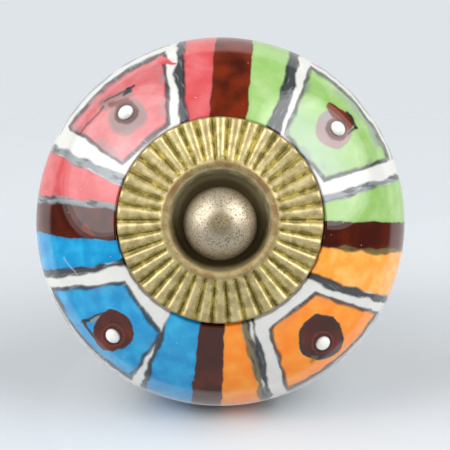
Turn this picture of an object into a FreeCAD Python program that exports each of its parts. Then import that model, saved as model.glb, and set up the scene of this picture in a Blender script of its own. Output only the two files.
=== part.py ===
"""Hand painted ceramic cabinet knob with a fluted brass rosette and a dome headed bolt.

Millimetres. The knob's axis is Y and its face looks along -Y, as on a closed door.
The origin is the middle of the flange's back face, which lies against the door, and the
bolt runs on through the door along +Y. Heights are distances in front of that back face.
"""

import FreeCAD
import Part
import math
import os

# Ceramic body
KNOB_RADIUS = 21.0
RIM_FRONT_ARC = 10.4
RIM_FRONT_WIDTH = 2.5
RIM_BACK_ARC = 5.0
FLARE_SLOPE = 34.0
NECK_ARC = 2.5
FOOT_RADIUS = 8.5
FOOT_STRAIGHT = 3.0
FOOT_CHAMFER = 0.4
ROSETTE_LAND = 0.6
BOLT_PASSAGE_RADIUS = 2.6

# Raised slip dots on the crown: degrees round from +X towards +Z, and distance in from the rim
SLIP_DOTS = ((38.3, 4.45), (131.0, 5.1), (226.8, 3.6), (310.1, 3.35))
DOT_RADIUS = 1.2
DOT_HEIGHT = 0.34

# Pressed brass rosette
ROSETTE_RADIUS = 11.3
SHEET = 0.45
CREST_EDGE_RISE = 0.95
LIP_RISE = 2.1
LIP_RADIUS = 6.3
SHOULDER_WIDTH = 0.5
SHOULDER_DROP = 0.1
LIP_ROLL = 0.9
LIP_ROLL_TURN = 62.0
CUP_FLOOR_RADIUS = 4.9
CUP_DEPTH = 4.7
CUP_SIDE_CLEARANCE = 0.35
CUP_FLOOR_CLEARANCE = 0.2

# Flutes pressed into the rosette: narrow steep valleys between broad ridges with sloping sides.
# Inner sizes are those at the lip, edge sizes those at the rosette's rim.
FLUTE_COUNT = 38
FLUTE_START = 6.8
FLUTE_DEPTH_INNER = 0.25
FLUTE_DEPTH_EDGE = 0.65
FLUTE_FLOOR_INNER = 0.18
FLUTE_FLOOR_EDGE = 0.25
FLUTE_WALL_INNER = 0.15
FLUTE_WALL_EDGE = 0.4
FLUTE_WALL_SLOPE = 65.0
RIDGE_SLOPE = 28.0
FOLD_HALF_WIDTH = 0.5
FOLD_RISE = 0.32
TOOL_OVERRUN = 0.8

# Dome headed bolt
HEAD_RADIUS = 4.05
HEAD_CENTRE_RISE = 1.7
SHANK_RADIUS = 2.0
BOLT_REACH = 38.0
TIP_CHAMFER = 0.5
BOLT_CLEARANCE = 0.15

# Turned brass flange that carries the ceramic foot
FLANGE_RADIUS = 10.6
FLANGE_DISC = 1.4
FLANGE_EDGE = 0.3
COLLAR_WALL = 0.9
COLLAR_GAP = 1.2
SEAT_HEIGHT = 2.0
FOOT_CLEARANCE = 0.15

# Washer and nut behind the door
DOOR_THICKNESS = 18.0
WASHER_RADIUS = 6.0
WASHER_THICKNESS = 1.0
WASHER_EDGE = 0.15
NUT_SIDES = 6
NUT_ACROSS_FLATS = 7.0
NUT_HEIGHT = 3.2
NUT_CHAMFER_SLOPE = 30.0
THREAD_CLEARANCE = 0.05

ORIGIN = FreeCAD.Vector(0, 0, 0)
AXIS_BACK = FreeCAD.Vector(0, 1, 0)
UPRIGHT = math.pi / 2

# The ceramic's outline: foot, neck, flare, rim, and the ball that the crown is part of
FLARE = math.radians(FLARE_SLOPE)
NECK_HEIGHT = SEAT_HEIGHT + FOOT_STRAIGHT
NECK_CENTRE = FOOT_RADIUS + NECK_ARC
NECK_END = (
    NECK_CENTRE - NECK_ARC * math.sin(FLARE),
    NECK_HEIGHT + NECK_ARC * math.cos(FLARE),
)
BACK_CENTRE = KNOB_RADIUS - RIM_BACK_ARC
BACK_END_RADIUS = BACK_CENTRE + RIM_BACK_ARC * math.sin(FLARE)
BACK_END_HEIGHT = NECK_END[1] + (BACK_END_RADIUS - NECK_END[0]) * math.tan(FLARE)
RIM_HEIGHT = BACK_END_HEIGHT + RIM_BACK_ARC * math.cos(FLARE)
FRONT_CENTRE = KNOB_RADIUS - RIM_FRONT_ARC
BALL_EDGE = KNOB_RADIUS - RIM_FRONT_WIDTH
BALL_LEAN = math.asin((BALL_EDGE - FRONT_CENTRE) / RIM_FRONT_ARC)
BALL_RADIUS = BALL_EDGE / math.sin(BALL_LEAN)
BALL_HEIGHT = RIM_HEIGHT + (RIM_FRONT_ARC - BALL_RADIUS) * math.cos(BALL_LEAN)


def crown_lean(radius):
    """How far the crown leans back from the knob's axis at a distance from it, in radians."""
    if radius < BALL_EDGE:
        return math.asin(radius / BALL_RADIUS)
    return math.asin((radius - FRONT_CENTRE) / RIM_FRONT_ARC)


def crown_height(radius):
    """Height of the crown: part of a ball, then the tighter arc that rolls over the rim."""
    if radius < BALL_EDGE:
        return BALL_HEIGHT + BALL_RADIUS * math.cos(crown_lean(radius))
    return RIM_HEIGHT + RIM_FRONT_ARC * math.cos(crown_lean(radius))


# The land that carries the rosette, and the heights that follow from it
LAND_RADIUS = ROSETTE_RADIUS + ROSETTE_LAND
FACE = crown_height(LAND_RADIUS)
LIP = FACE + LIP_RISE
CUP_FLOOR = LIP - CUP_DEPTH
ROLL_TURN = math.radians(LIP_ROLL_TURN)
ROLL_END = (LIP_RADIUS - LIP_ROLL * math.sin(ROLL_TURN), LIP - LIP_ROLL * (1 - math.cos(ROLL_TURN)))
POCKET_RADIUS = ROLL_END[0] + SHEET + CUP_SIDE_CLEARANCE
POCKET_FLOOR = CUP_FLOOR - SHEET - CUP_FLOOR_CLEARANCE
BOLT_HOLE_RADIUS = SHANK_RADIUS + BOLT_CLEARANCE
COLLAR_HEIGHT = NECK_HEIGHT - COLLAR_GAP


def at(radius, height, turn=0.0):
    """The point at a distance from the axis and a height, turned about the axis from +X."""
    angle = math.radians(turn)
    return FreeCAD.Vector(radius * math.cos(angle), -height, radius * math.sin(angle))


def line(start, end):
    """A straight edge between two (radius, height) pairs."""
    return Part.makeLine(at(*start), at(*end))


def arc(centre, size, first, last):
    """A round edge about a (radius, height) centre, from one angle to another, from +radius."""
    points = []
    for angle in (first, (first + last) / 2, last):
        points.append(at(centre[0] + size * math.cos(angle), centre[1] + size * math.sin(angle)))
    return Part.Arc(*points).toShape()


def outline(*points):
    """Straight edges from each (radius, height) pair to the next."""
    return [line(a, b) for a, b in zip(points, points[1:])]


def turned(edges):
    """The solid that a closed half section makes when it is turned about the knob's axis."""
    face = Part.Face(Part.Wire(edges))
    return face.revolve(ORIGIN, AXIS_BACK, 360.0)


def around(shape, count, first=0.0):
    """Copies of a shape evenly spaced about the knob's axis, the first one at a share of a step."""
    copies = []
    for index in range(count):
        copy = shape.copy()
        copy.rotate(ORIGIN, AXIS_BACK, 360.0 * (index + first) / count)
        copies.append(copy)
    return copies


def slip_dot(turn, inset):
    """One raised dot, a ball sunk in the crown until only its cap stands proud."""
    ball_radius = (DOT_RADIUS**2 + DOT_HEIGHT**2) / (2 * DOT_HEIGHT)
    radius = KNOB_RADIUS - inset
    lean = crown_lean(radius)
    sunk = ball_radius - DOT_HEIGHT
    centre = at(
        radius - sunk * math.sin(lean),
        crown_height(radius) - sunk * math.cos(lean),
        turn,
    )
    return Part.makeSphere(ball_radius, centre)


def ceramic_body():
    """The fired body: foot, hollow neck, flared back, round crown, flat land and cup pocket."""
    below = FLARE - UPRIGHT
    land_lean = crown_lean(LAND_RADIUS)
    edges = [
        arc((0.0, BALL_HEIGHT), BALL_RADIUS, UPRIGHT - land_lean, UPRIGHT - BALL_LEAN),
        arc((FRONT_CENTRE, RIM_HEIGHT), RIM_FRONT_ARC, UPRIGHT - BALL_LEAN, 0.0),
        arc((BACK_CENTRE, RIM_HEIGHT), RIM_BACK_ARC, 0.0, below),
        line((BACK_END_RADIUS, BACK_END_HEIGHT), NECK_END),
        arc((NECK_CENTRE, NECK_HEIGHT), NECK_ARC, below + math.pi, math.pi),
        *outline(
            (FOOT_RADIUS, NECK_HEIGHT),
            (FOOT_RADIUS, SEAT_HEIGHT + FOOT_CHAMFER),
            (FOOT_RADIUS - FOOT_CHAMFER, SEAT_HEIGHT),
            (BOLT_PASSAGE_RADIUS, SEAT_HEIGHT),
            (BOLT_PASSAGE_RADIUS, POCKET_FLOOR),
            (POCKET_RADIUS, POCKET_FLOOR),
            (POCKET_RADIUS, FACE),
            (LAND_RADIUS, FACE),
        ),
    ]
    return turned(edges).fuse([slip_dot(*dot) for dot in SLIP_DOTS])


def flat_sided(rings):
    """The solid enclosed by flat faces, each given by its ring of corners."""
    faces = [Part.Face(Part.makePolygon([*ring, ring[0]])) for ring in rings]
    solid = Part.makeSolid(Part.makeShell(faces))
    if solid.Volume < 0:
        solid.reverse()
    return solid


def flute_section(radius, floor_height, floor_width, wall):
    """Corners across one flute: floor, steep wall, then the slope that rounds the next ridge."""
    half = floor_width / 2
    wall_out = half + wall / math.tan(math.radians(FLUTE_WALL_SLOPE))
    mouth_out = wall_out + LIP_RISE / math.tan(math.radians(RIDGE_SLOPE))
    across = FreeCAD.Vector(0, 0, 1)
    corners = []
    for out, rise in ((half, 0.0), (wall_out, wall), (mouth_out, wall + LIP_RISE)):
        middle = at(radius, floor_height + rise)
        corners.append(middle + across * out)
        corners.insert(0, middle - across * out)
    return corners


def flute_tool():
    """The tapered press tool of one flute, along +X, from the lip's shoulder past the rim."""
    inner = (LIP - SHOULDER_DROP - FLUTE_DEPTH_INNER, FLUTE_FLOOR_INNER, FLUTE_WALL_INNER)
    edge = (FACE + CREST_EDGE_RISE - FLUTE_DEPTH_EDGE, FLUTE_FLOOR_EDGE, FLUTE_WALL_EDGE)
    length = ROSETTE_RADIUS - FLUTE_START
    reach = (length + TOOL_OVERRUN) / length
    beyond = [a + (b - a) * reach for a, b in zip(inner, edge)]
    near = flute_section(FLUTE_START, *inner)
    far = flute_section(ROSETTE_RADIUS + TOOL_OVERRUN, *beyond)
    sides = []
    for a, b, c, d in zip(near, near[1:] + near[:1], far[1:] + far[:1], far):
        sides.append([a, b, c, d])
    return flat_sided([near, far, *sides])


def fold_tool():
    """The wedge of air under one crest, where the sheet is folded up between two flutes."""
    radius = ROSETTE_RADIUS + TOOL_OVERRUN
    spread = FOLD_HALF_WIDTH * (FOLD_RISE + SHEET) / FOLD_RISE
    ridge = at(radius, FACE + FOLD_RISE)
    foot = at(radius, FACE - SHEET)
    side = FreeCAD.Vector(0, 0, spread)
    base = [ridge, foot + side, foot - side]
    tip = at(LIP_RADIUS, LIP - SHEET)
    return flat_sided([base, *([a, b, tip] for a, b in zip(base, base[1:] + base[:1]))])


def front_rosette():
    """The pressed cap: fluted cone, rolled lip and deep cup with a hole for the bolt."""
    edges = [
        *outline(
            (ROSETTE_RADIUS, FACE + CREST_EDGE_RISE),
            (LIP_RADIUS + SHOULDER_WIDTH, LIP - SHOULDER_DROP),
            (LIP_RADIUS, LIP),
        ),
        arc((LIP_RADIUS, LIP - LIP_ROLL), LIP_ROLL, UPRIGHT, UPRIGHT + ROLL_TURN),
        *outline(
            ROLL_END,
            (CUP_FLOOR_RADIUS, CUP_FLOOR),
            (BOLT_HOLE_RADIUS, CUP_FLOOR),
            (BOLT_HOLE_RADIUS, CUP_FLOOR - SHEET),
            (CUP_FLOOR_RADIUS, CUP_FLOOR - SHEET),
            (CUP_FLOOR_RADIUS + SHEET, CUP_FLOOR),
            (ROLL_END[0] + SHEET, ROLL_END[1] - SHEET),
            (LIP_RADIUS, LIP - SHEET),
            (ROSETTE_RADIUS - SHEET, FACE),
            (ROSETTE_RADIUS, FACE),
            (ROSETTE_RADIUS, FACE + CREST_EDGE_RISE),
        ),
    ]
    flutes = around(flute_tool(), FLUTE_COUNT)
    folds = around(fold_tool(), FLUTE_COUNT, first=0.5)
    return turned(edges).cut(flutes).cut(folds)


def head_bolt():
    """The bolt, turned from one bar: ball head seated on the cup's floor, and a plain shank."""
    centre = CUP_FLOOR + HEAD_CENTRE_RISE
    seat_angle = -math.asin(HEAD_CENTRE_RISE / HEAD_RADIUS)
    seat_radius = HEAD_RADIUS * math.cos(seat_angle)
    edges = [
        arc((0.0, centre), HEAD_RADIUS, UPRIGHT, seat_angle),
        *outline(
            (seat_radius, CUP_FLOOR),
            (SHANK_RADIUS, CUP_FLOOR),
            (SHANK_RADIUS, TIP_CHAMFER - BOLT_REACH),
            (SHANK_RADIUS - TIP_CHAMFER, -BOLT_REACH),
            (0.0, -BOLT_REACH),
            (0.0, centre + HEAD_RADIUS),
        ),
    ]
    return turned(edges)


def base_flange():
    """The turned seat: a flat disc with broken edges and a coned collar round the foot."""
    recess = FOOT_RADIUS + FOOT_CLEARANCE
    collar = recess + COLLAR_WALL
    cone = FLANGE_RADIUS - FLANGE_EDGE - collar
    edges = outline(
        (BOLT_HOLE_RADIUS, 0.0),
        (FLANGE_RADIUS - FLANGE_EDGE, 0.0),
        (FLANGE_RADIUS, FLANGE_EDGE),
        (FLANGE_RADIUS, FLANGE_DISC - FLANGE_EDGE),
        (FLANGE_RADIUS - FLANGE_EDGE, FLANGE_DISC),
        (collar, FLANGE_DISC + cone),
        (collar, COLLAR_HEIGHT - FLANGE_EDGE),
        (collar - FLANGE_EDGE, COLLAR_HEIGHT),
        (recess, COLLAR_HEIGHT),
        (recess, SEAT_HEIGHT),
        (BOLT_HOLE_RADIUS, SEAT_HEIGHT),
        (BOLT_HOLE_RADIUS, 0.0),
    )
    return turned(edges)


def flat_washer():
    """A stamped washer whose front face lies against the back of the door."""
    front, back = -DOOR_THICKNESS, -DOOR_THICKNESS - WASHER_THICKNESS
    edges = outline(
        (BOLT_HOLE_RADIUS, front),
        (WASHER_RADIUS - WASHER_EDGE, front),
        (WASHER_RADIUS, front - WASHER_EDGE),
        (WASHER_RADIUS, back),
        (BOLT_HOLE_RADIUS, back),
        (BOLT_HOLE_RADIUS, front),
    )
    return turned(edges)


def hex_nut():
    """A six sided nut on the bolt, chamfered at both ends, seated on the washer."""
    front = -DOOR_THICKNESS - WASHER_THICKNESS
    back = front - NUT_HEIGHT
    face_radius = NUT_ACROSS_FLATS / 2
    corner_radius = face_radius / math.cos(math.pi / NUT_SIDES)
    corners = [at(corner_radius, front, 360.0 * index / NUT_SIDES) for index in range(NUT_SIDES + 1)]
    prism = Part.Face(Part.makePolygon(corners)).extrude(AXIS_BACK * NUT_HEIGHT)
    bore = SHANK_RADIUS + THREAD_CLEARANCE
    drop = (corner_radius - face_radius) * math.tan(math.radians(NUT_CHAMFER_SLOPE))
    envelope = turned(
        outline(
            (bore, front),
            (face_radius, front),
            (corner_radius, front - drop),
            (corner_radius, back + drop),
            (face_radius, back),
            (bore, back),
            (bore, front),
        )
    )
    return prism.common(envelope)


NODES = {
    "ceramic_body": ceramic_body,
    "front_rosette": front_rosette,
    "head_bolt": head_bolt,
    "base_flange": base_flange,
    "flat_washer": flat_washer,
    "hex_nut": hex_nut,
}

os.makedirs("parts", exist_ok=True)
for name, make in NODES.items():
    shape = make()
    solids = shape.Solids
    print(name, len(solids), "solid", "valid" if shape.isValid() else "not valid", round(shape.Volume, 2))
    solids[0].exportStep(os.path.join("parts", name + ".step"))
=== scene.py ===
"""Looks of a hand painted ceramic cabinet knob with a fluted brass rosette, in the CAD frame."""

import math

import bpy
import numpy as np
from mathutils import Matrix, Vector


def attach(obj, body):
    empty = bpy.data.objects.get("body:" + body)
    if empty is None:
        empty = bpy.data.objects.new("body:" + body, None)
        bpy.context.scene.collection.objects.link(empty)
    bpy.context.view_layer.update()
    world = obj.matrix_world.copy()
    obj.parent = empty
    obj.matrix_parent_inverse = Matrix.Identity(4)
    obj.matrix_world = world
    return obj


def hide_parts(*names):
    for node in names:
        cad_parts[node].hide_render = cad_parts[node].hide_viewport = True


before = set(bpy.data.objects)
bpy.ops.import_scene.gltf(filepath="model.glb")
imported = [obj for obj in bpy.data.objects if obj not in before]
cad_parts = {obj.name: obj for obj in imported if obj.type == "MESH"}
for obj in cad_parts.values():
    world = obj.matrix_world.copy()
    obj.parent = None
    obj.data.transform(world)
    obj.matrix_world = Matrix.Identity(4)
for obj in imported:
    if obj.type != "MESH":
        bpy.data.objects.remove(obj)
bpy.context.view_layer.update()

# Base flange. A seat turned from brass bar: a disc with a coned collar that the ceramic foot
# stands in. It is the first piece on the bolt and lies flat against the door. The brass has
# fine turning rings and a thin brown tarnish.

MM = 0.001
BRASS = (0.66, 0.50, 0.23)
BRASS_TARNISH = (0.20, 0.14, 0.055)
FLANGE_RADIUS = 10.6
FLANGE_DISC = 1.4
BREAK = 0.3
SEAT_HEIGHT = 2.0
FOOT_RADIUS = 8.5
RECESS_RADIUS = 8.65
COLLAR_RADIUS = 9.55
COLLAR_HEIGHT = 3.8
BOLT_HOLE_RADIUS = 2.15


class Wire:
    """A value inside a material. Sums written with it lay down the nodes that work them out."""

    def __init__(self, paint, socket):
        self.paint = paint
        self.socket = socket

    def math(self, operation, *others):
        return Wire(self.paint, self.paint.node("Math", self, *others, operation=operation).outputs[0])

    def __add__(self, other):
        return self.math("ADD", other)

    def __radd__(self, other):
        return self.math("ADD", other)

    def __sub__(self, other):
        return self.math("SUBTRACT", other)

    def __rsub__(self, other):
        return self.math("MULTIPLY", -1.0) + other

    def __mul__(self, other):
        return self.math("MULTIPLY", other)

    def __rmul__(self, other):
        return self.math("MULTIPLY", other)

    def __truediv__(self, other):
        return self.math("DIVIDE", other)

    def __abs__(self):
        return self.math("ABSOLUTE")

    def least(self, other):
        return self.math("MINIMUM", other)

    def most(self, other):
        return self.math("MAXIMUM", other)

    def ramp(self, low, high):
        """Rises smoothly from 0 at low to 1 at high."""
        node = self.paint.node(
            "MapRange", self, low, high, 0.0, 1.0, interpolation_type="SMOOTHSTEP", clamp=True
        )
        return Wire(self.paint, node.outputs[0])


class Paint:
    """A material under way, with its object coordinates in millimetres at hand."""

    def __init__(self, name):
        self.material = bpy.data.materials.new(name)
        self.material.use_nodes = True
        self.tree = self.material.node_tree
        self.surface = self.tree.nodes["Principled BSDF"]
        metres = self.tree.nodes.new("ShaderNodeTexCoord").outputs["Object"]
        scaled = self.node("VectorMath", metres, operation="SCALE")
        scaled.inputs["Scale"].default_value = 1 / MM
        self.place = scaled.outputs[0]

    def node(self, kind, *values, **settings):
        node = self.tree.nodes.new("ShaderNode" + kind)
        for key, value in settings.items():
            setattr(node, key, value)
        for socket, value in zip(node.inputs, values):
            self.put(socket, value)
        return node

    def put(self, socket, value):
        if isinstance(value, Wire):
            value = value.socket
        if isinstance(value, bpy.types.NodeSocket):
            self.tree.links.new(value, socket)
        else:
            socket.default_value = value

    def parts(self, place):
        """The x, y and z of a place."""
        node = self.node("SeparateXYZ", place)
        return [Wire(self, socket) for socket in node.outputs]

    def noise(self, scale, detail=2.0, stretch=(1, 1, 1), place=None, colour=False):
        """Soft random patches, about 1 / scale millimetres across."""
        spread = self.node("VectorMath", place or self.place, stretch, operation="MULTIPLY").outputs[0]
        node = self.node("TexNoise")
        self.put(node.inputs["Vector"], spread)
        node.inputs["Scale"].default_value = scale
        node.inputs["Detail"].default_value = detail
        return node.outputs["Color"] if colour else Wire(self, node.outputs[0])

    def mix(self, below, above, share):
        """One colour over another."""
        node = self.node("Mix", data_type="RGBA")
        self.put(node.inputs[0], share)
        for socket, colour in ((node.inputs[6], below), (node.inputs[7], above)):
            self.put(socket, (*colour, 1.0) if isinstance(colour, tuple) else colour)
        return node.outputs[2]

    def finish(self, colour, roughness, relief=None, depth=0.01, **fixed):
        """Joins the colour, roughness and relief, whose depth is in millimetres, to the surface."""
        self.put(self.surface.inputs["Base Color"], colour)
        self.put(self.surface.inputs["Roughness"], roughness)
        for name, value in fixed.items():
            self.surface.inputs[name.replace("_", " ")].default_value = value
        if relief is not None:
            bump = self.node("Bump")
            bump.inputs["Distance"].default_value = depth * MM
            self.put(bump.inputs["Height"], relief)
            self.put(self.surface.inputs["Normal"], bump.outputs[0])
        return self.material


def softened(points, size, steps=4):
    """A line through (radius, height) points with each corner rounded off."""
    line = [np.array(points[0], float)]
    for before, corner, after in zip(points, points[1:], points[2:]):
        before, corner, after = (np.array(p, float) for p in (before, corner, after))
        reach = min(size, np.linalg.norm(before - corner) * 0.45, np.linalg.norm(after - corner) * 0.45)
        start = corner + (before - corner) / np.linalg.norm(before - corner) * reach
        end = corner + (after - corner) / np.linalg.norm(after - corner) * reach
        for t in np.linspace(0, 1, steps + 1):
            line.append((1 - t) ** 2 * start + 2 * t * (1 - t) * corner + t**2 * end)
    line.append(np.array(points[-1], float))
    return np.array(line)


def add_piece(name, points, faces, material, slot, *nodes):
    """A smooth shaded piece of the knob, in place of the CAD nodes that it stands for."""
    mesh = bpy.data.meshes.new(name)
    mesh.from_pydata((np.asarray(points) * MM).tolist(), [], faces)
    mesh.update()
    mesh.shade_smooth()
    mesh.materials.append(material)
    piece = bpy.data.objects.new(name, mesh)
    bpy.context.collection.objects.link(piece)
    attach(piece, "root")
    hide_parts(*nodes)
    return piece


def grid_faces(rows, turns, closed=False):
    """Quads between the rows of a form that closes on itself round the axis."""
    faces = []
    for row in range(rows if closed else rows - 1):
        here, there = row * turns, (row + 1) % rows * turns
        for k in range(turns):
            faces.append((here + k, there + k, there + (k + 1) % turns, here + (k + 1) % turns))
    return faces


def lathe(line, turns):
    """Points of a (radius, height) line turned about the knob's axis."""
    angle = np.arange(turns) * 2 * np.pi / turns
    radius, height = line[:, :1], line[:, 1:]
    across = radius * np.cos(angle), -height + 0 * angle, radius * np.sin(angle)
    return np.stack(across, axis=-1).reshape(-1, 3)


def turned_brass(name):
    """Brass as it leaves the lathe, gone brown in the grooves."""
    paint = Paint(name)
    x, y, z = paint.parts(paint.place)
    radius = (x * x + z * z).math("SQRT")
    rings = paint.node("TexNoise", noise_dimensions="1D")
    paint.put(rings.inputs["W"], radius * 9.0 + y * 7.0)
    rings = Wire(paint, rings.outputs[0])
    cloud = paint.noise(0.35, 4.0)
    specks = paint.noise(3.2, 3.0)
    tarnish = (cloud * 0.8 + specks * 0.5 + rings * 0.35).ramp(0.72, 1.05)
    colour = paint.mix(BRASS, BRASS_TARNISH, tarnish * 0.75)
    rough = 0.24 + tarnish * 0.25 + rings * 0.08
    return paint.finish(colour, rough, rings + specks * 0.5, 0.012, Metallic=1.0)


flange_line = softened(
    [
        (BOLT_HOLE_RADIUS, SEAT_HEIGHT),
        (RECESS_RADIUS, SEAT_HEIGHT),
        (RECESS_RADIUS, COLLAR_HEIGHT),
        (COLLAR_RADIUS, COLLAR_HEIGHT),
        (COLLAR_RADIUS, FLANGE_DISC + FLANGE_RADIUS - BREAK - COLLAR_RADIUS),
        (FLANGE_RADIUS - BREAK, FLANGE_DISC),
        (FLANGE_RADIUS, FLANGE_DISC - BREAK),
        (FLANGE_RADIUS, BREAK),
        (FLANGE_RADIUS - BREAK, 0.0),
        (BOLT_HOLE_RADIUS, 0.0),
    ],
    0.22,
)
flange_material = turned_brass("flange_brass")
FLANGE_TURNS = 180
add_piece(
    "flange",
    lathe(flange_line, FLANGE_TURNS),
    grid_faces(len(flange_line), FLANGE_TURNS, closed=True),
    flange_material,
    "flange_brass",
    "base_flange",
)

# Ceramic body. Thrown and fired clay with a hollow neck, dipped in white glaze and painted by
# hand: bars and stripes run out over the rim, four cells hold a blot with a raised slip dot.
# It stands in the flange's collar, and only its foot is bare clay.

KNOB_RADIUS = 20.99
RIM_FRONT_ARC = 10.4
RIM_FRONT_WIDTH = 2.5
RIM_BACK_ARC = 5.0
FLARE = math.radians(34.0)
NECK_ARC = 2.5
NECK_HEIGHT = 5.0
LAND_RADIUS = 11.9
CROWN_STARTS = 11.47
POCKET_RADIUS = 6.3
PASSAGE_RADIUS = 2.6
CUP_BELOW_FACE = 3.25

neck_centre = FOOT_RADIUS + NECK_ARC
neck_end = (neck_centre - NECK_ARC * math.sin(FLARE), NECK_HEIGHT + NECK_ARC * math.cos(FLARE))
back_centre = KNOB_RADIUS - RIM_BACK_ARC
back_end = back_centre + RIM_BACK_ARC * math.sin(FLARE)
rim_height = (
    neck_end[1] + (back_end - neck_end[0]) * math.tan(FLARE) + RIM_BACK_ARC * math.cos(FLARE)
)
front_centre = KNOB_RADIUS - RIM_FRONT_ARC
ball_edge = KNOB_RADIUS - RIM_FRONT_WIDTH
ball_lean = math.asin((ball_edge - front_centre) / RIM_FRONT_ARC)
ball_radius = ball_edge / math.sin(ball_lean)
ball_height = rim_height + (RIM_FRONT_ARC - ball_radius) * math.cos(ball_lean)


def bow(centre, size, first, last, steps):
    """Points of a round line about a (radius, height) centre, in radians from +radius."""
    angle = np.linspace(first, last, steps)[:, None]
    return np.array(centre) + size * np.hstack([np.cos(angle), np.sin(angle)])


def crown(radius):
    """Height and lean of the painted face at a distance from the axis."""
    if radius < ball_edge:
        lean = math.asin(radius / ball_radius)
        return ball_height + ball_radius * math.cos(lean), lean
    lean = math.asin((radius - front_centre) / RIM_FRONT_ARC)
    return rim_height + RIM_FRONT_ARC * math.cos(lean), lean


face_height = crown(LAND_RADIUS)[0]
upright = math.pi / 2
body_line = np.vstack(
    [
        softened(
            [
                (PASSAGE_RADIUS, SEAT_HEIGHT + 1),
                (PASSAGE_RADIUS, face_height - CUP_BELOW_FACE),
                (POCKET_RADIUS, face_height - CUP_BELOW_FACE),
                (POCKET_RADIUS, face_height),
                (CROWN_STARTS - 0.02, face_height),
            ],
            0.25,
        ),
        bow((0, ball_height), ball_radius, upright - crown(CROWN_STARTS)[1], upright - ball_lean, 34),
        bow((front_centre, rim_height), RIM_FRONT_ARC, upright - ball_lean, 0, 40)[1:],
        bow((back_centre, rim_height), RIM_BACK_ARC, 0, FLARE - upright, 36)[1:],
        bow(neck_end, 0, 0, 0, 1),
        bow((neck_centre, NECK_HEIGHT), NECK_ARC, FLARE + upright, math.pi, 14)[1:],
        softened(
            [
                (FOOT_RADIUS, NECK_HEIGHT - 0.05),
                (FOOT_RADIUS, SEAT_HEIGHT),
                (PASSAGE_RADIUS, SEAT_HEIGHT),
                (PASSAGE_RADIUS, SEAT_HEIGHT + 1),
            ],
            0.4,
        ),
    ]
)

WHITE = (0.74, 0.735, 0.70)
CLAY = (0.62, 0.52, 0.42)
BLACK = (0.018, 0.022, 0.030)
GREY = (0.22, 0.25, 0.27)
OLIVE = (0.17, 0.13, 0.045)
BROWN = (0.048, 0.006, 0.002)
RUST = (0.17, 0.020, 0.004)
RED = (0.61, 0.080, 0.085)
PINK = (0.70, 0.17, 0.185)
GREEN = (0.28, 0.51, 0.13)
LEAF = (0.42, 0.61, 0.27)
BLUE = (0.006, 0.240, 0.54)
SKY = (0.035, 0.46, 0.75)
ORANGE = (0.98, 0.245, 0.008)
AMBER = (1.0, 0.40, 0.05)
REFLECTED_BLOT_MAUVE = (0.33, 0.20, 0.22)
ASH = (0.20, 0.19, 0.18)
INNER_EDGE = 12.0
OUTER_EDGE = 20.5
BARS_END = 26.5
RIM_LINE = 20.75
WANDER = 0.75
TREMBLE = 0.05

glaze = Paint("painted_glaze")


def strayed(place, scale, reach):
    """A place moved a little at random, as a painter's hand strays from a true line."""
    middle = (0.5, 0.5, 0.5)
    off = glaze.node("VectorMath", glaze.noise(scale, colour=True), middle, operation="SUBTRACT")
    step = glaze.node("VectorMath", off.outputs[0], operation="SCALE")
    step.inputs["Scale"].default_value = reach
    return glaze.node("VectorMath", place, step.outputs[0], operation="ADD").outputs[0]


x, y, z = glaze.parts(strayed(strayed(glaze.place, 0.42, WANDER), 2.6, TREMBLE))
plain_height = glaze.parts(glaze.place)[1] * -1.0
radius = (x * x + z * z).math("SQRT")
behind = plain_height.math("LESS_THAN", rim_height)
out = radius + behind * (2 * KNOB_RADIUS - radius * 2.0)
across = x * out / radius
up = z * out / radius
turn = z.math("ARCTAN2", x) * math.degrees(1)
wash = glaze.noise(0.5, 4.0)
streaks = glaze.noise(3.0, 2.0)
fray = glaze.noise(7.0, 1.0)
pressure = glaze.noise(0.32, 1.0)
drag = glaze.node("CombineXYZ", turn * 0.28, out * 0.22, 0.0).outputs[0]
bristle = glaze.noise(2.4, 2.0, place=drag)


def sector(inner, outer):
    """How far inside a wedge of the face: its two sides, in degrees, at the rosette and at the rim."""
    share = (out - INNER_EDGE) / (OUTER_EDGE - INNER_EDGE)
    middle_in, middle_out = sum(inner) / 2, sum(outer) / 2
    half_in, half_out = (inner[1] - inner[0]) / 2, (outer[1] - outer[0]) / 2
    middle = share * (middle_out - middle_in) + middle_in
    half = share * (half_out - half_in) + half_in
    away = abs((turn - middle + 540.0 + 360.0).math("MODULO", 360.0) - 180.0)
    return (half - away) * out * math.radians(1)


def left_of(start, end):
    """How far to the left of a straight line drawn from one place on the face to another."""
    run, rise = end[0] - start[0], end[1] - start[1]
    length = math.hypot(run, rise)
    return (up - start[1]) * (run / length) - (across - start[0]) * (rise / length)


def stroke(start, end, width, taper=0.0):
    """How far inside a brush stroke between two places, thinner towards its end."""
    run, rise = end[0] - start[0], end[1] - start[1]
    length = math.hypot(run, rise)
    along = ((across - start[0]) * (run / length) + (up - start[1]) * (rise / length)) / length
    along = along.most(0.0).least(1.0)
    off_x = across - start[0] - along * run
    off_z = up - start[1] - along * rise
    return width / 2 - along * taper / 2 - (off_x * off_x + off_z * off_z).math("SQRT")


def round_blot(centre, size):
    off_x, off_z = across - centre[0], up - centre[1]
    return size - (off_x * off_x + off_z * off_z).math("SQRT")


def lay(colour, pigment, inside, soft=0.10, cover=1.0):
    """Lays a pigment over the colour so far, wherever the distance is inside."""
    return glaze.mix(colour, pigment, inside.ramp(-soft, soft) * cover)


def washed(dark, light):
    """A pigment brushed on unevenly, from thin and pale to pooled and dark."""
    return glaze.mix(dark, light, (wash * 1.2 + streaks * 0.15).ramp(0.40, 1.15))


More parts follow.
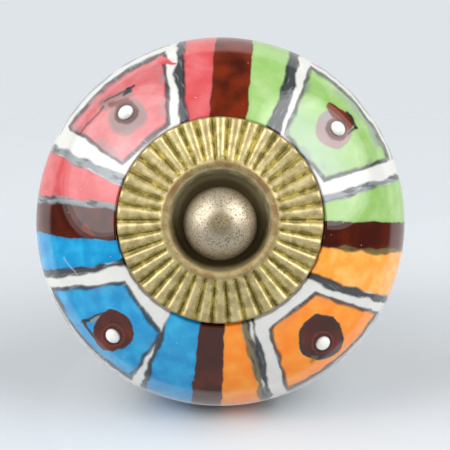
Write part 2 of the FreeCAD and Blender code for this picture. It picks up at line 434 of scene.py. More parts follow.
def edged(colour, pigment, inside, cover=0.55, width=0.55):
    """A fill whose pigment has gathered darker along its edges."""
    colour = lay(colour, pigment, inside)
    rim = inside.ramp(-0.1, 0.1) * (1.0 - inside.ramp(0.05, width))
    shade = glaze.mix(pigment, BLACK, 0.35)
    return glaze.mix(colour, shade, rim * cover * (streaks + 0.25))


ends = BARS_END - out + (streaks - 0.5) * 3.0
red, green, blue, orange = (
    washed(*pair) for pair in ((RED, PINK), (GREEN, LEAF), (BLUE, SKY), (ORANGE, AMBER))
)
brown = glaze.mix(BROWN, RUST, (wash * 0.5 + pressure * 0.8).ramp(0.55, 0.95) * 0.7)
peach = washed((0.98, 0.33, 0.03), (1.0, 0.60, 0.17))
russet = glaze.mix(BROWN, RUST, (wash * 0.4 + pressure * 0.8).ramp(0.35, 0.70))
rose = washed((0.60, 0.13, 0.14), (0.71, 0.26, 0.27))
sage = glaze.mix(green, (0.34, 0.47, 0.34), (1.0 - out.ramp(13.0, 17.5)) * 0.65)
black = glaze.mix(BLACK, GREY, (fray * 0.1 + bristle).ramp(0.58, 0.78) * 0.6)
grey = glaze.mix(GREY, BLACK, (pressure * 0.5 + bristle * 0.6).ramp(0.52, 0.68))
olive = glaze.mix(OLIVE, BLACK, (fray * 0.1 + bristle * 0.9).ramp(0.46, 0.66))

colour = glaze.mix(WHITE, (0.70, 0.70, 0.66), wash.ramp(0.4, 0.7))

stripes = [
    (green, (-0.5, 10.5), (-0.5, 13.4)),
    (green, (62.0, 76.5), (66.5, 80.0)),
    (red, (95.0, 108.0), (91.0, 101.8)),
    (red, (160.0, 171.0), (157.0, 172.5)),
    (blue, (189.5, 201.0), (183.0, 196.0)),
    (blue, (242.0, 260.0), (245.5, 261.5)),
    (orange, (271.5, 282.0), (270.0, 283.0)),
    (peach, (330.0, 347.0), (336.0, 351.0)),
    (brown, (346.6, 360.0), (350.6, 359.8)),
    (russet, (76.2, 95.5), (79.8, 91.1)),
    (brown, (171.0, 190.0), (174.0, 183.3)),
    (brown, (259.2, 272.0), (261.0, 270.3)),
]
for pigment, inner, outer in stripes:
    colour = edged(colour, pigment, sector(inner, outer).least(ends), 0.35)

outlines = [
    (grey, (10.0, 14.0), (13.2, 15.0)),
    (black, (57.0, 64.0), (64.4, 67.4)),
    (black, (106.5, 112.0), (101.4, 103.6)),
    (grey, (154.6, 160.4), (155.0, 157.4)),
    (grey, (170.0, 173.6), (171.6, 174.2)),
    (black, (200.4, 204.0), (195.6, 198.0)),
    (black, (240.8, 242.6), (244.0, 246.4)),
    (olive, (281.4, 286.6), (282.4, 284.4)),
    (black, (286.0, 289.2), (283.8, 286.2)),
    (black, (326.8, 331.4), (333.4, 335.6)),
    (olive, (345.8, 347.4), (350.0, 351.4)),
]
for pigment, inner, outer in outlines:
    thick = sector(inner, outer) + (pressure - 0.5) * 1.0 + (streaks - 0.5) * 0.10
    colour = lay(colour, pigment, thick.least(ends), 0.17, 0.95)

cells = [
    (rose, ((-5.6, 10.7), (-6.2, 18.5), (-17.1, 10.8), (-10.8, 6.3)), 19.9, 0.55),
    (sage, ((11.5, 4.5), (18.9, 7.0), (10.2, 17.2), (7.2, 9.6)), 20.1, 0.65),
    (blue, ((-10.5, -6.8), (-18.6, -7.6), (-10.1, -17.8), (-6.6, -12.2)), 20.3, 0.12),
    (orange, ((5.5, -11.9), (7.6, -19.1), (17.7, -10.4), (10.4, -7.9)), 20.4, 0.12),
]
for pigment, corners, reach, water in cells:
    first, rim_a, rim_b, last = corners
    sides = left_of(first, rim_a).least(left_of(rim_b, last)).least(left_of(last, first))
    inside = sides.least(reach - out)
    bound = inside.ramp(-0.36, -0.08) * (1.0 - (inside + (pressure - 0.5) * 0.9).ramp(0.0, 0.40))
    colour = lay(colour, pigment, inside)
    pooled = inside.ramp(0.0, 0.2) * (1.0 - inside.ramp(0.3, 1.4)) * pressure.ramp(0.44, 0.58)
    colour = glaze.mix(colour, GREY, pooled * water)
    colour = glaze.mix(colour, black, bound * 0.9)

rim_lines = [
    ((108, 150), (106, 152)),
    ((22, 62), (20, 60)),
    ((203, 240), (203, 240)),
    ((292, 330), (292, 330)),
]
for inner, outer in rim_lines:
    band = 0.11 - abs(out - RIM_LINE) + (pressure - 0.5) * 0.3
    colour = lay(colour, GREY, band.least(sector(inner, outer)), 0.08, 0.8)

# Blots and drips in the pink cell, and the red that ran past its corner.
colour = lay(colour, ASH, round_blot((-10.3, 11.5), 2.1) + (wash - 0.5) * 1.4, 0.35, 0.8)
colour = lay(colour, ASH, stroke((-12.9, 13.0), (-10.3, 14.2), 1.3, 0.2), 0.3, 0.7)
colour = lay(colour, RUST, stroke((-12.2, 12.9), (-10.4, 13.4), 0.55), 0.15, 0.8)
colour = lay(colour, BLACK, stroke((-10.2, 14.6), (-10.7, 14.0), 0.8, 0.5), 0.15)
colour = lay(colour, BLACK, stroke((-9.6, 15.0), (-12.9, 13.3), 0.30, 0.15), 0.1, 0.85)
colour = lay(colour, BROWN, stroke((-13.0, 12.7), (-15.7, 9.8), 0.24), 0.1, 0.7)
colour = lay(colour, red, stroke((-6.6, 18.0), (-5.0, 17.6), 0.9, 0.7))

# Blots and drips in the green cell. Its big blot is brown pigment, painted mauve as a painted reflection of
# the softbox lying over it.
colour = lay(colour, REFLECTED_BLOT_MAUVE, round_blot((12.6, 10.2), 2.15) + (wash - 0.5) * 0.5, 0.15, 0.9)
colour = lay(colour, GREY, round_blot((12.3, 11.3), 1.1) + (wash - 0.5) * 0.8, 0.4, 0.6)
colour = lay(colour, RUST, stroke((13.7, 11.0), (12.2, 12.7), 2.4, 1.6), 0.12)
colour = lay(colour, BLACK, stroke((14.2, 12.0), (15.2, 10.4), 0.45, 0.1), 0.12, 0.9)
colour = lay(colour, BLACK, stroke((15.2, 10.4), (14.2, 9.6), 0.4, 0.2), 0.12, 0.9)

# Drips and a scratch on the bars at the left.
colour = lay(colour, BROWN, stroke((-18.2, 1.9), (-17.7, 0.5), 0.5, 0.3), 0.12, 0.8)
colour = lay(colour, RUST, stroke((-14.8, -0.8), (-14.0, -1.5), 0.9, 0.5), 0.12, 0.8)
colour = lay(colour, WHITE, stroke((-17.3, -4.0), (-16.0, -5.9), 0.12), 0.1, 0.35)

# The blot in the blue cell, with its torn outline.
colour = lay(colour, BLACK, stroke((-15.4, -11.2), (-12.6, -10.2), 0.42, 0.2))
colour = lay(colour, GREY, stroke((-14.4, -11.1), (-13.0, -10.6), 0.4))
colour = lay(colour, BLACK, stroke((-15.2, -11.4), (-13.6, -13.6), 0.4, 0.2))
colour = lay(colour, brown, round_blot((-11.9, -12.2), 2.3) + (wash - 0.5) * 1.2)

# The outlined blot in the orange cell, and the smear below it.
colour = lay(colour, BLACK, round_blot((11.2, -12.9), 2.62) + (wash - 0.5) * 0.7)
colour = lay(colour, olive, stroke((10.5, -15.0), (10.2, -15.7), 0.8, 0.4), 0.2, 0.6)
colour = lay(colour, brown, round_blot((11.2, -12.8), 2.3) + (wash - 0.5) * 0.7)

dot_places = [(38.3, 16.55), (131.0, 15.9), (226.8, 17.4), (310.1, 17.65)]
# Round each slip dot a dark brown ring: partly the brown pigment under the dot, partly a painted shadow at
# the bead's foot.
for angle, distance in dot_places:
    centre = (distance * math.cos(math.radians(angle)), distance * math.sin(math.radians(angle)))
    colour = lay(colour, RUST, round_blot(centre, 1.35) + (streaks - 0.5) * 0.3, 0.08, 0.9)
    colour = lay(colour, BROWN, round_blot(centre, 1.15), 0.08)

pinholes = glaze.noise(4.0, 0.0).ramp(0.88, 0.90)
colour = glaze.mix(colour, WHITE, pinholes * 0.6)
bare = (plain_height + (wash - 0.5) * 0.5).ramp(4.4, 4.2)
colour = glaze.mix(colour, CLAY, bare)
skin = glaze.noise(0.7, 1.0) * 1.0 + glaze.noise(3.0, 1.0) * 0.25 + bare * glaze.noise(9.0) * 0.4
glaze_material = glaze.finish(
    colour,
    0.32 + bare * 0.5,
    skin,
    0.035,
    Coat_Weight=1.0,
    Coat_Roughness=0.03,
    Coat_IOR=1.9,
    Specular_IOR_Level=0.0,
)

BODY_TURNS = 420
add_piece(
    "ceramic",
    lathe(body_line, BODY_TURNS),
    grid_faces(len(body_line), BODY_TURNS),
    glaze_material,
    "painted_glaze",
    "ceramic_body",
)

# Slip dots. Each is a drop of thick white slip set on a blot before the last firing, so it
# stands proud as a round glossy bead, slightly out of true.

DOT_RADIUS = 0.92
DOT_HEIGHT = 0.72
DOT_SUNK = 0.08
DOT_ROWS = 14
DOT_TURNS = 40

dot_paint = Paint("slip_white")
dot_cloud = dot_paint.noise(1.6, 3.0)
dot_material = dot_paint.finish(
    dot_paint.mix((0.86, 0.85, 0.80), (0.74, 0.70, 0.64), dot_cloud.ramp(0.45, 0.75)),
    0.25 + dot_cloud * 0.15,
    dot_paint.noise(2.5),
    0.03,
    Coat_Weight=1.0,
    Coat_Roughness=0.05,
)
share = np.linspace(0.02, 1, DOT_ROWS)
dot_line = np.stack([DOT_RADIUS * share, DOT_HEIGHT * np.sqrt(1 - share**2) - DOT_SUNK], axis=-1)
dot_top = tuple(range(DOT_TURNS))
dot_base = tuple(range((DOT_ROWS - 1) * DOT_TURNS, DOT_ROWS * DOT_TURNS))[::-1]
dice = np.random.default_rng(7)
for index, (angle, distance) in enumerate(dot_places):
    height, lean = crown(distance)
    bead = lathe(dot_line, DOT_TURNS)
    bead[:, 0] *= dice.uniform(0.95, 1.05)
    bead[:, 2] *= dice.uniform(0.95, 1.05)
    cos, sin = math.cos(math.radians(angle)), math.sin(math.radians(angle))
    outward = np.array([math.sin(lean) * cos, -math.cos(lean), math.sin(lean) * sin])
    sideways = np.array([-sin, 0, cos])
    third = np.cross(outward, sideways)
    foot = np.array([distance * cos, -height, distance * sin])
    points = foot + bead[:, :1] * sideways - bead[:, 1:2] * outward + bead[:, 2:] * third
    add_piece(
        "slip_dot_%d" % (index + 1),
        points,
        [dot_top, dot_base] + grid_faces(DOT_ROWS, DOT_TURNS),
        dot_material,
        "painted_glaze",
        "ceramic_body",
    )

# Rosette. A cap pressed from thin brass sheet: a rolled lip round a deep cup, and a shallow
# cone with 38 flutes out to a cut edge, broad ridges with dirty valleys between. It is plated an
# antique gold, left matt. The bolt's head clamps it on the ceramic's land, a little high.

ROSETTE_RADIUS = 11.3
SHEET = 0.45
CREST_EDGE_RISE = 0.95
LIP_RISE = 2.1
LIP_RADIUS = 6.3
LIP_ROLL = 0.9
ROLL_TURN = math.radians(62)
CUP_FLOOR_RADIUS = 4.9
CUP_DEPTH = 4.7
CUP_HOLE_RADIUS = 2.6
SITS_HIGH = 0.15
FLUTES = 38
FLUTE_START = 6.3
DEPTH_INNER = 0.25
DEPTH_EDGE = 0.65
VALLEY_INNER = 0.09
VALLEY_EDGE = 0.125
ROUNDNESS = 2.8
CREST_END = 0.3
OFF_LAND = 0.02
FLUTE_STEPS = 28
ROSETTE_TURNS = FLUTES * FLUTE_STEPS

lip_height = face_height + LIP_RISE
cup_floor = lip_height - CUP_DEPTH
roll_end = (
    LIP_RADIUS - LIP_ROLL * math.sin(ROLL_TURN),
    lip_height - LIP_ROLL * (1 - math.cos(ROLL_TURN)),
)


def smooth(value):
    value = np.clip(value, 0, 1)
    return value * value * (3 - 2 * value)


def fluted(radius, step):
    """Height of the sheet at a distance from the axis; step is 0 in a valley and 1 on a ridge."""
    fall = (ROSETTE_RADIUS - radius) / (ROSETTE_RADIUS - LIP_RADIUS)
    crest = face_height + CREST_EDGE_RISE + fall * (LIP_RISE - CREST_EDGE_RISE)
    crest = crest - 0.08 * smooth((radius - LIP_RADIUS) / 0.4) * smooth(fall * 3)
    along = np.clip((radius - FLUTE_START) / (ROSETTE_RADIUS - FLUTE_START), 0, 1)
    grown = smooth((radius - FLUTE_START - 0.15 * step) / 0.6)
    depth = grown * uneven * (DEPTH_INNER + (DEPTH_EDGE - DEPTH_INNER) * along)
    valley = (VALLEY_INNER + (VALLEY_EDGE - VALLEY_INNER) * along) / (np.pi * radius / FLUTES)
    rise = np.clip((step - valley) / (1 - valley), 0, 1)
    end = 0.22 * step * np.clip((radius - ROSETTE_RADIUS + CREST_END) / CREST_END, 0, 1) ** 2
    return crest - depth * (1 - rise) ** ROUNDNESS - end


pressing = np.random.default_rng(5)
step = 1 - np.abs(np.arange(ROSETTE_TURNS) / FLUTE_STEPS % 1 * 2 - 1)
uneven = np.repeat(pressing.uniform(0.9, 1.0, FLUTES), FLUTE_STEPS)
uneven = 1 - (1 - uneven) * (1 - step)
sway = np.roll(np.repeat(pressing.normal(0, 0.006, FLUTES), FLUTE_STEPS), FLUTE_STEPS // 2) * (1 - step)
angle = np.arange(ROSETTE_TURNS) * 2 * np.pi / ROSETTE_TURNS + sway
cos, sin = np.cos(angle), np.sin(angle)
rows = []


def add_row(radius, height):
    rows.append(np.stack([radius * cos, -height + 0 * cos, radius * sin + SITS_HIGH], axis=-1))


top_radii = np.concatenate(
    [np.linspace(6.38, 8.0, 20), np.linspace(8.3, 10.9, 10), np.linspace(10.98, 11.24, 6)]
)
inner_line = np.vstack(
    [
        softened(
            [
                (CUP_HOLE_RADIUS, cup_floor - SHEET),
                (CUP_HOLE_RADIUS, cup_floor),
                (CUP_FLOOR_RADIUS, cup_floor),
                roll_end,
            ],
            1.4,
            8,
        )[:-1],
        bow((LIP_RADIUS, lip_height - LIP_ROLL), LIP_ROLL, upright + ROLL_TURN, upright, 14),
    ]
)
for radius_mm, height_mm in inner_line:
    add_row(radius_mm, np.full(ROSETTE_TURNS, height_mm))
for radius_mm in top_radii:
    add_row(radius_mm, fluted(radius_mm, step))
off_land = face_height + OFF_LAND
edge = fluted(ROSETTE_RADIUS, step)
add_row(ROSETTE_RADIUS - 0.02, edge - 0.05)
add_row(ROSETTE_RADIUS, edge - 0.12)
add_row(ROSETTE_RADIUS, np.maximum(edge - SHEET * 0.8, face_height + 0.10))
add_row(ROSETTE_RADIUS - 0.06, np.maximum(edge - SHEET, off_land))
for radius_mm in (ROSETTE_RADIUS - 0.8, 9.4, 8.0, 6.8):
    add_row(radius_mm, np.maximum(fluted(radius_mm, step) - SHEET, off_land))
under_line = [
    (LIP_RADIUS, lip_height - SHEET),
    (roll_end[0] + SHEET, roll_end[1] - SHEET),
    (CUP_FLOOR_RADIUS + SHEET, cup_floor),
    (CUP_FLOOR_RADIUS, cup_floor - SHEET),
]
for radius_mm, height_mm in under_line:
    add_row(radius_mm, np.full(ROSETTE_TURNS, height_mm))

gold = Paint("antique_gold")
x, y, z = gold.parts(gold.place)
z = z - SITS_HIGH
radius = (x * x + z * z).math("SQRT")
turn = (z.math("ARCTAN2", x) / (2 * math.pi / FLUTES) + 0.5 + FLUTES).math("FRACT")
cloud = gold.noise(0.45, 3.0)
grain = gold.noise(4.5, 4.0)
patchy = gold.noise(0.9, 2.0)
specks = gold.noise(6.0, 3.0)
brushed = gold.noise(2.2, 3.0, stretch=(1, 0.2, 1))
off_valley = abs(turn - 0.5) * radius * (2 * math.pi / FLUTES)
on_flutes = radius.ramp(6.4, 6.7)
valley = (1.0 - (off_valley + (patchy - 0.5) * 0.5).ramp(0.08, 0.34)) * on_flutes
flank = (1.0 - off_valley.ramp(0.20, 0.55)) * on_flutes
POLISHED = (0.90, 0.765, 0.39)
MATT_GOLD = (0.62, 0.50, 0.23)
LIP_GOLD = (0.47, 0.37, 0.17)
FLANK_SHADE_OLIVE = (0.30, 0.25, 0.05)
YELLOW_GOLD = (0.60, 0.49, 0.09)
PATINA = (0.035, 0.026, 0.008)
CUP_GREEN = (0.48, 0.44, 0.26)
CUP_DARK = (0.16, 0.11, 0.04)
RED_BROWN = (0.36, 0.20, 0.08)
gilt = gold.mix(POLISHED, MATT_GOLD, (patchy * 0.7 + cloud * 0.3 + grain * 0.3).ramp(0.50, 0.80))
# Painted shade: the flanks next to each valley are painted darker olive, in patches.
gilt = gold.mix(gilt, FLANK_SHADE_OLIVE, flank * patchy.ramp(0.40, 0.65) * 0.6)
gilt = gold.mix(gilt, YELLOW_GOLD, valley * 0.8)
on_lip = radius.ramp(5.5, 5.7) * (1.0 - (radius + specks * 0.6).ramp(6.5, 7.1))
gilt = gold.mix(gilt, LIP_GOLD, on_lip * 0.9)
mottle = on_lip * (specks * 0.5 + patchy * 0.6).ramp(0.48, 0.62)
gilt = gold.mix(gilt, RED_BROWN, mottle * 0.8)
in_cup = 1.0 - (radius + (patchy - 0.5) * 0.2).ramp(5.55, 5.85)
lower_side = (z / radius * -1.0 + (patchy - 0.5) * 0.6).ramp(-0.7, 0.6)
# Painted shade: the cup darkens towards its floor, round the bolt's head.
gilt = gold.mix(gilt, gold.mix(CUP_DARK, CUP_GREEN, radius.ramp(4.3, 5.0)), in_cup * 0.9)
# The cup is also painted darker towards its lower side.
gilt = gold.mix(gilt, CUP_DARK, in_cup * lower_side * 0.75)
# And darker in patches on its inner roll.
inner_roll = radius.ramp(4.9, 5.25) * (1.0 - radius.ramp(5.5, 5.7)) * patchy.ramp(0.3, 0.6)
gilt = gold.mix(gilt, CUP_DARK, inner_roll * 0.6)
dark_line = (1.0 - (off_valley + (specks - 0.5) * 0.5).ramp(0.0, 0.13)) * patchy.ramp(0.38, 0.52)
dark_specks = (specks + patchy * 0.4).ramp(0.74, 0.80) * flank * 0.6 + dark_line * on_flutes
gilt = gold.mix(gilt, PATINA, dark_specks.least(1.0) * 0.75)
# Painted shadow: a darker red-brown line along the rosette's cut edge, where it meets the glaze.
edge_shadow_line = radius.ramp(11.08, 11.22)
gilt = gold.mix(gilt, RED_BROWN, edge_shadow_line * 0.6)
gold_rough = 0.34 + valley * 0.10 + on_lip * 0.2 + in_cup * 0.12 + dark_specks * 0.2 + grain * 0.1
gold_relief = grain * 0.6 + brushed * 0.5 - dark_specks * 0.7 + on_lip * specks * 1.2
gold.put(gold.surface.inputs["Metallic"], 0.62 - in_cup * 0.42)
gold_material = gold.finish(gilt, gold_rough, gold_relief, 0.03)
add_piece(
    "rosette",
    np.vstack(rows),
    grid_faces(len(rows), ROSETTE_TURNS, closed=True),
    gold_material,
    "rosette_brass",
    "front_rosette",
)

# Bolt. One piece of steel, nickel plated and rubbed to an antique silver: a ball head with
# turning rings near its foot and a rough worn spot on top, and a rolled M4 thread on the
# shank. It holds all the pieces together, and its head sits a little low in the cup.

HEAD_RADIUS = 4.05
HEAD_CENTRE_RISE = 1.7
SHANK_RADIUS = 2.0
THREAD_PITCH = 0.7
THREAD_DEPTH = 0.36
NECKED_RADIUS = 1.62
BOLT_REACH = 38.0
THREAD_STARTS_AT = 2.0
SITS_LOW = 0.25

head_centre = cup_floor + HEAD_CENTRE_RISE
silver = Paint("antique_silver")
x, y, z = silver.parts(silver.place)
on_head = (y * -1.0).ramp(cup_floor - 1, cup_floor)
z = z + on_head * SITS_LOW
radius = (x * x + z * z).math("SQRT")
cloud = silver.noise(0.55, 4.0)
specks = silver.noise(5.0, 3.0)
fine = silver.noise(11.0, 2.0)
rings = silver.node("TexNoise", noise_dimensions="1D")
silver.put(rings.inputs["W"], radius * 6.0)
rings = Wire(silver, rings.outputs[0])
worn = (1.0 - (radius + specks * 1.2 - 0.6).ramp(0.8, 1.7)) * on_head
skirt = radius.ramp(3.1, 3.8) * on_head
SILVER = (0.80, 0.71, 0.55)
BRONZE = (0.43, 0.31, 0.155)
WORN_OLIVE = (0.26, 0.19, 0.07)
plate = silver.mix(SILVER, BRONZE, (cloud * 0.8 + specks * 0.6).ramp(0.62, 1.0) * 0.8)
plate = silver.mix(plate, WORN_OLIVE, worn * 0.7)
soot = (specks * 0.6 + fine * 0.5).ramp(0.57, 0.66)
plate = silver.mix(plate, (0.17, 0.11, 0.055), soot * (0.65 * on_head))
plate = silver.mix(plate, (0.16, 0.12, 0.08), skirt * rings.ramp(0.4, 0.7) * 0.6)
silver_rough = 0.38 + worn * 0.25 + soot * 0.15 + cloud * 0.08
silver_material = silver.finish(
    plate, silver_rough, fine * 0.5 + specks * 0.5 + worn * specks + skirt * rings * 1.5, 0.03, Metallic=0.75
)

seat_angle = -math.asin(HEAD_CENTRE_RISE / HEAD_RADIUS)
ball = bow((0, head_centre), HEAD_RADIUS, upright - 0.004, seat_angle + 0.04, 60)
head_line = np.vstack(
    [
        ball,
        softened(
            [
                ball[-1],
                (HEAD_RADIUS * math.cos(seat_angle), cup_floor),
                (SHANK_RADIUS, cup_floor),
                (SHANK_RADIUS, THREAD_STARTS_AT + 0.6),
                (NECKED_RADIUS, THREAD_STARTS_AT),
                (NECKED_RADIUS, THREAD_STARTS_AT - 0.6),
            ],
            0.12,
        ),
    ]
)
HEAD_TURNS = 128
head_points = lathe(head_line, HEAD_TURNS)
above_thread = (-head_points[:, 1] - THREAD_STARTS_AT) / (cup_floor - THREAD_STARTS_AT)
head_points[:, 2] -= SITS_LOW * smooth(above_thread)
head_faces = [tuple(range(HEAD_TURNS))] + grid_faces(len(head_line), HEAD_TURNS)

THREAD_TURNS = 36
ridge = np.array([0.0, 0.0, 0.25, 0.75, 1.0, 1.0, 0.75, 0.25])
count = int((THREAD_STARTS_AT + BOLT_REACH) / THREAD_PITCH * len(ridge))
angle = np.arange(THREAD_TURNS) * 2 * np.pi / THREAD_TURNS
phase = np.arange(count)[:, None] / len(ridge) - angle[None, :] / (2 * np.pi)
profile = np.interp(phase % 1 * len(ridge), range(len(ridge) + 1), [*ridge, ridge[0]])
depth = -np.arange(count)[:, None] * THREAD_PITCH / len(ridge) + THREAD_STARTS_AT + 0 * angle
taper = np.clip((depth + BOLT_REACH) / 0.7, 0, 1)
size = (SHANK_RADIUS - THREAD_DEPTH * (1 - profile)) - (1 - taper) * 0.55
run_out = np.clip((THREAD_STARTS_AT - depth) / 0.8, 0, 1)
size = np.minimum(size, NECKED_RADIUS + run_out * (SHANK_RADIUS - NECKED_RADIUS))
thread = np.stack([size * np.cos(angle), -np.maximum(depth, -BOLT_REACH), size * np.sin(angle)], axis=-1)
thread_points = thread.reshape(-1, 3)
offset = len(head_points)
thread_faces = [tuple(offset + k for k in face) for face in grid_faces(count, THREAD_TURNS)]
thread_faces.append(tuple(offset + (count - 1) * THREAD_TURNS + k for k in range(THREAD_TURNS))[::-1])
add_piece(
    "bolt",
    np.vstack([head_points, thread_points]),
    head_faces + thread_faces,
    silver_material,
    "bolt_steel",
    "head_bolt",
)

# Washer. Stamped from zinc plated sheet, with a rolled front edge and a sharper back edge.
# It lies against the back of the door, here where an 18 mm door would put it.

DOOR = 18.0
WASHER_RADIUS = 6.0
WASHER_THICKNESS = 1.0
WASHER_TURNS = 96


def zinc(name):
    """Bright zinc plate over steel: faint spangle, fine scratches and a dull bloom."""
    paint = Paint(name)
    spangle = paint.node("TexVoronoi", feature="F1")
    paint.put(spangle.inputs["Vector"], paint.place)
    spangle.inputs["Scale"].default_value = 1.3
    patch = Wire(paint, spangle.outputs["Distance"])
    bloom = paint.noise(0.6, 4.0)
    scratch = paint.noise(2.0, 3.0, stretch=(8, 1, 0.6))
    shade = paint.mix((0.60, 0.61, 0.60), (0.42, 0.42, 0.38), (bloom + patch * 0.2).ramp(0.45, 0.8))
    shade = paint.mix(shade, (0.25, 0.20, 0.12), bloom.ramp(0.66, 0.8) * 0.5)
    return paint.finish(shade, 0.28 + bloom * 0.25 + patch * 0.1, scratch + patch * 0.5, 0.01, Metallic=1.0)


zinc_material = zinc("zinc_plate")
washer_line = softened(
    [
        (BOLT_HOLE_RADIUS + 0.3, -DOOR),
        (WASHER_RADIUS, -DOOR),
        (WASHER_RADIUS, -DOOR - WASHER_THICKNESS),
        (BOLT_HOLE_RADIUS, -DOOR - WASHER_THICKNESS),
        (BOLT_HOLE_RADIUS, -DOOR),
        (BOLT_HOLE_RADIUS + 0.3, -DOOR),
    ],
    0.15,
)
add_piece(
    "washer",
    lathe(washer_line, WASHER_TURNS),
    grid_faces(len(washer_line), WASHER_TURNS),
    zinc_material,
    "zinc_plate",
    "flat_washer",
)

# Nut. A plain M4 hex nut, cold formed and zinc plated, its corners turned off at both ends.
# It is run up the bolt against the washer and comes off again to take the knob from the door.

NUT_ACROSS_FLATS = 7.0
NUT_HEIGHT = 3.2
NUT_FACE_BREAK = 0.12
NUT_SINK = 0.3
NUT_TURNS = 96

nut_front = -DOOR - WASHER_THICKNESS
corner = NUT_ACROSS_FLATS / 2 / math.cos(math.pi / 6)
angle = np.arange(NUT_TURNS) * 2 * np.pi / NUT_TURNS
flat = NUT_ACROSS_FLATS / 2 / np.cos((angle + math.pi / 6) % (math.pi / 3) - math.pi / 6)
flat = np.minimum(np.roll(flat, NUT_TURNS // 12), corner - 0.10)
chamfer = np.tan(math.radians(30))
nut_rows = []


def nut_row(size, height):
    nut_rows.append(np.stack([size * np.cos(angle), -height + 0 * size, size * np.sin(angle)], axis=-1))


nut_back = nut_front - NUT_HEIGHT
bore = np.full(NUT_TURNS, SHANK_RADIUS + 0.05)
face = np.full(NUT_TURNS, NUT_ACROSS_FLATS / 2 - NUT_FACE_BREAK)
turned_off = (flat - NUT_ACROSS_FLATS / 2) * chamfer
nut_row(bore, nut_front - NUT_SINK)
nut_row(bore + 0.25, nut_front)
nut_row(face, nut_front)
for share in (0.0, 0.35, 0.7, 1.0):
    nut_row(flat - (1 - share) * 0.06, nut_front - turned_off - 0.08 * share)
for share in (1.0, 0.7, 0.35, 0.0):
    nut_row(flat - (1 - share) * 0.06, nut_back + turned_off + 0.08 * share)
nut_row(face, nut_back)
nut_row(bore + 0.25, nut_back)
nut_row(bore, nut_back + NUT_SINK)
nut = add_piece(
    "nut",
    np.vstack(nut_rows),
    grid_faces(len(nut_rows), NUT_TURNS, closed=True),
    zinc_material,
    "zinc_plate",
    "hex_nut",
)
nut.data.set_sharp_from_angle(angle=math.radians(30))

# Floor. A pale tabletop. The knob lies on it as it does in the photograph, on its rim and the
# tip of its bolt, so the top slopes in the knob's own frame. It fades out all round, so that
# from any side the knob stands before the same pale ground.

LYING = math.radians(19.37)
TABLE_RINGS = (0.1, 15, 30, 60, 120, 200)
TABLE_TURNS = 64
PAPER = (0.635, 0.67, 0.705, 1.0)
FADE_STARTS = 50.0
FADE_ENDS = 150.0

table_line = np.array([(ring, 0.0) for ring in TABLE_RINGS])
flat = lathe(table_line, TABLE_TURNS)
foot = np.array([0, -rim_height, 0]) + RIM_BACK_ARC * np.array([0, math.sin(LYING), -math.cos(LYING)])
foot[2] -= back_centre + 0.03
table_points = foot + flat[:, :1] * (1, 0, 0) + flat[:, 2:] * (0, math.cos(LYING), math.sin(LYING))
floor_mesh = bpy.data.meshes.new("floor")
floor_mesh.from_pydata((table_points * MM).tolist(), [], grid_faces(len(table_line), TABLE_TURNS))
floor = bpy.data.objects.new("floor", floor_mesh)
bpy.context.collection.objects.link(floor)
paper = Paint("paper")
x, y, z = paper.parts(paper.place)
y = y + rim_height
distance = (x * x + y * y).math("SQRT")
paper_material = paper.finish(PAPER, 0.9, paper.noise(1.5, 3.0), 0.02, Specular_IOR_Level=0.0)
clear = paper.node("BsdfTransparent")
backing = Wire(paper, paper.node("NewGeometry").outputs["Backfacing"])
mirror_ray = Wire(paper, paper.node("LightPath").outputs["Is Glossy Ray"])
faded = (distance.ramp(FADE_STARTS, FADE_ENDS) + backing + mirror_ray * 0.7).least(1.0)
blend = paper.node("MixShader", faded)
paper.put(blend.inputs[1], paper.surface.outputs[0])
paper.put(blend.inputs[2], clear.outputs[0])
paper.put(paper.tree.nodes["Material Output"].inputs["Surface"], blend.outputs[0])
floor_mesh.materials.append(paper_material)

# Light. Two large round softboxes, high at the left and the right, each brighter in the middle,
# with a dark gap between them overhead. The pale paper sweeps up behind the knob and shows in
# the glaze along the rim, while the side towards the viewer is dim.


def round_light(name, place, facing, size, power, spread=180.0):
    """A round light, with its middle at a place in front of the knob's face."""
    data = bpy.data.lights.new(name, "AREA")
    data.shape = "DISK"
    data.size = size
    data.energy = power
    data.spread = math.radians(spread)
    light = bpy.data.objects.new(name, data)
    light.location = place - Vector((0, face_height * MM, 0))
    light.rotation_mode = "QUATERNION"
    light.rotation_quaternion = facing.to_track_quat("Z", "Y")
    bpy.context.collection.objects.link(light)


def softbox(name, side, lift, size, power, core):
    """A diffuser square to its side and moved to the viewer, and the lamp's bright core behind it.

    Both are nested discs, so that they fade to their edges; a panel's lie one behind another.
    """
    side = Vector(side).normalized()
    up_the_panel = Vector((-side.z, 0, side.x)) * (1 if side.x > 0 else -1)
    middle = (side + up_the_panel * lift - Vector((0, TO_THE_VIEWER, 0))) * REACH
    for share, part, nearer in PANEL_DISCS:
        round_light(name, middle - side * nearer, side, 2 * size * REACH * share, power * part)
    for share, part in CORE_DISCS:
        round_light(name + "_core", middle, middle, size * REACH * share, core * part, CORE_SPREAD)


REACH = 0.6
TO_THE_VIEWER = 0.6
PANEL_DISCS = ((1.05, 0.37, 0.0), (0.97, 0.33, 0.01), (0.89, 0.30, 0.02))
CORE_DISCS = ((1.1, 0.45), (0.8, 0.36), (0.5, 0.19))
CORE_SPREAD = 50.0
softbox("softbox_left", (-0.848, 0, 0.53), 0.0, 0.84, 3.5, 0.23)
softbox("softbox_right", (0.884, 0, 0.467), 0.15, 0.74, 4.0, 0.08)

world = bpy.data.worlds.new("room")
bpy.context.scene.world = world
world.use_nodes = True
nodes, links = world.node_tree.nodes, world.node_tree.links


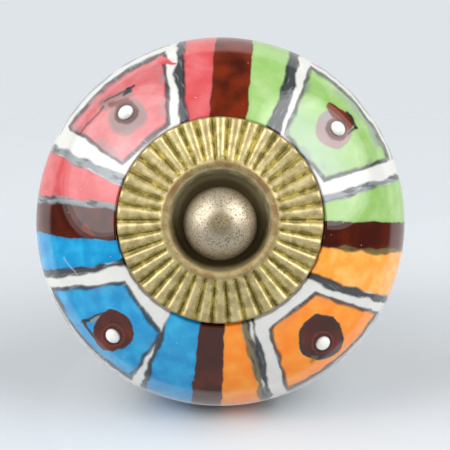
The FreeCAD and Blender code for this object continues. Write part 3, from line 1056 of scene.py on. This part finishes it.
def ramp_of(level, heights, colours):
    """A colour that changes with how far the direction points one way."""
    ramp = nodes.new("ShaderNodeValToRGB")
    ramp.color_ramp.elements[0].position, ramp.color_ramp.elements[1].position = heights[0], heights[-1]
    for position in heights[1:-1]:
        ramp.color_ramp.elements.new(position)
    for element, shade in zip(ramp.color_ramp.elements, colours):
        element.color = (*shade, 1.0)
    links.new(level.outputs[0], ramp.inputs[0])
    return ramp.outputs[0]


direction = nodes.new("ShaderNodeSeparateXYZ")
links.new(nodes.new("ShaderNodeTexCoord").outputs["Generated"], direction.inputs[0])
levels = []
for way in ("Z", "Y"):
    level = nodes.new("ShaderNodeMapRange")
    links.new(direction.outputs[way], level.inputs["Value"])
    level.inputs["From Min"].default_value = -1.0
    levels.append(level)
upward, backward = levels
backdrop = ramp_of(upward, (0.455, 0.495), ((0.84, 0.885, 0.92), (0.735, 0.775, 0.81)))
room = ramp_of(upward, (0.0, 0.42, 0.55, 0.75), ((0.85,) * 3, (0.85,) * 3, (0.69,) * 3, (0.42,) * 3))
mirrored = ramp_of(backward, (0.3, 0.66, 0.72), ((0.05,) * 3, (0.07,) * 3, (0.75,) * 3))
seen = nodes.new("ShaderNodeLightPath")
swap = nodes.new("ShaderNodeMix")
swap.data_type = "RGBA"
dim = nodes.new("ShaderNodeMix")
dim.data_type = "RGBA"
links.new(seen.outputs["Is Glossy Ray"], dim.inputs[0])
links.new(room, dim.inputs[6])
links.new(mirrored, dim.inputs[7])
links.new(seen.outputs["Is Camera Ray"], swap.inputs[0])
links.new(dim.outputs[2], swap.inputs[6])
links.new(backdrop, swap.inputs[7])
links.new(swap.outputs[2], nodes["Background"].inputs["Color"])

# Camera. A long lens straight in front, a hair to the right of the knob's axis and below it.

LENS = 210.5
DISTANCE = 300.0
ASIDE = 0.52
DOWN = 0.40

camera_data = bpy.data.cameras.new("camera")
camera_data.lens = LENS
camera_data.clip_start = 0.01
camera = bpy.data.objects.new("camera", camera_data)
camera.location = (ASIDE * MM, -(rim_height + DISTANCE) * MM, -DOWN * MM)
camera.rotation_euler = (math.radians(90), 0, 0)
bpy.context.collection.objects.link(camera)
bpy.context.scene.camera = camera
bpy.context.scene.view_settings.view_transform = "Standard"
